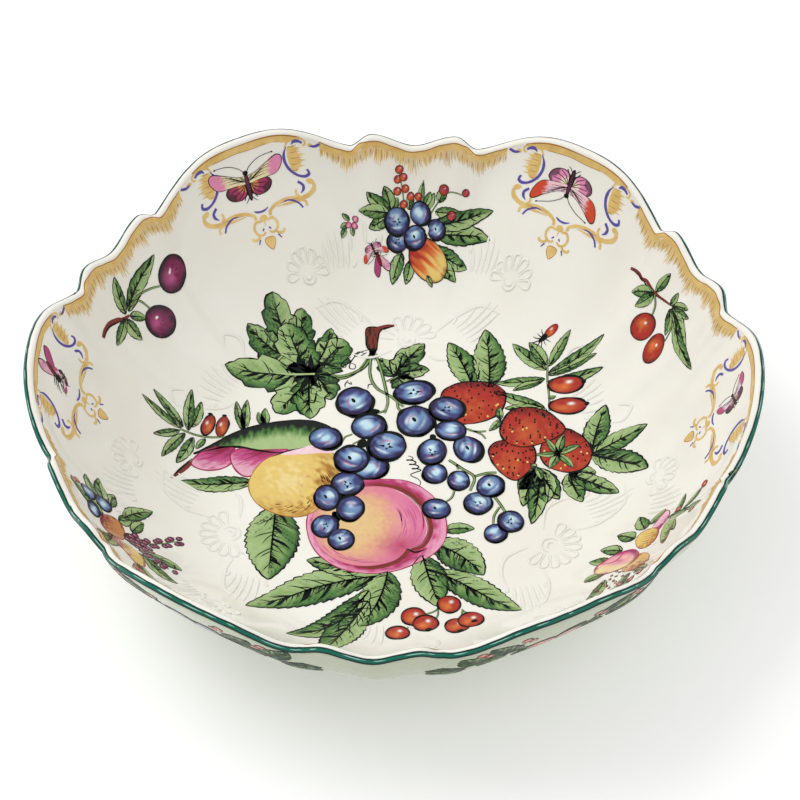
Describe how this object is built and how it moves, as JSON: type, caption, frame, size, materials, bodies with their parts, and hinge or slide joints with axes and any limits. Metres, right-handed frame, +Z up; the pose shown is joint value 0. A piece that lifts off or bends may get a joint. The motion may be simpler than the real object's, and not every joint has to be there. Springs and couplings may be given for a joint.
{
  "type": "porcelain serving bowl",
  "caption": "Shallow round serving bowl of glazed porcelain with a lobed, scalloped rim, a flat floor and a low foot ring.",
  "frame": {"origin": "on the bowl's axis, in the plane the foot ring rests on", "axes": "+Z up along the bowl's axis; +X through the middle of a rim lobe"},
  "size_m": [0.26, 0.2508, 0.0695],
  "materials": {
    "porcelain": "clear gloss glaze on white hard-paste porcelain, painted over the glaze",
    "foot_porcelain": "glazed sides, bare ground resting edge",
    "enamel": "glossy overglaze enamel colours, painted by brush; green is the commonest",
    "gilding": "burnished ochre gold, brushed on and fired"
  },
  "bodies": {
    "root": {"bowl_body": "porcelain", "foot_ring": "foot_porcelain"}
  },
  "joints": []
}
